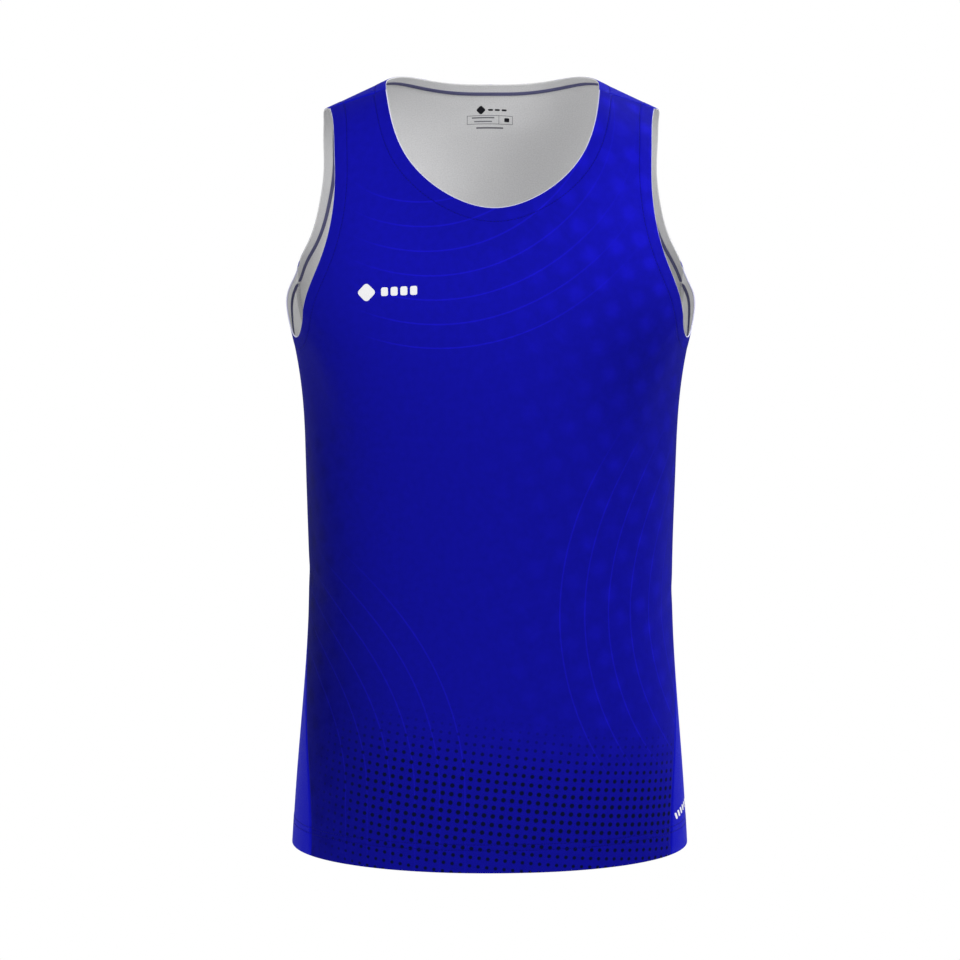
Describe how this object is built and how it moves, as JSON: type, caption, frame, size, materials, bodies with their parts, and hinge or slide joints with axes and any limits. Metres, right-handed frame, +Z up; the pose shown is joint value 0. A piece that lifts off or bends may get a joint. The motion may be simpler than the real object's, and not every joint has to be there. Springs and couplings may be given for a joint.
{
  "type": "running singlet",
  "caption": "Sleeveless knit running top, hollow as when worn: round neck, deep armholes, printed front and plain back sewn at side and shoulder.",
  "frame": {"origin": "midway between the shoulders, at the height where the underside of the straps rests on them, on the line where front turns into back", "axes": "+Z up; the front faces -Y; +X is to the right when the front is looked at"},
  "size_m": [0.3576, 0.229, 0.6745],
  "materials": {
    "front_cloth": "matt interlock knit, royal blue with a sublimated print of thin arcs, soft pale dots and dark halftone dots",
    "back_cloth": "matt interlock knit, plain royal blue",
    "inner_cloth": "unprinted white face of the knit",
    "thread": "dark blue polyester sewing thread",
    "white_mark": "flat white transfer film"
  },
  "bodies": {
    "root": {"front_panel": "front_cloth", "back_panel": "back_cloth"}
  },
  "joints": []
}
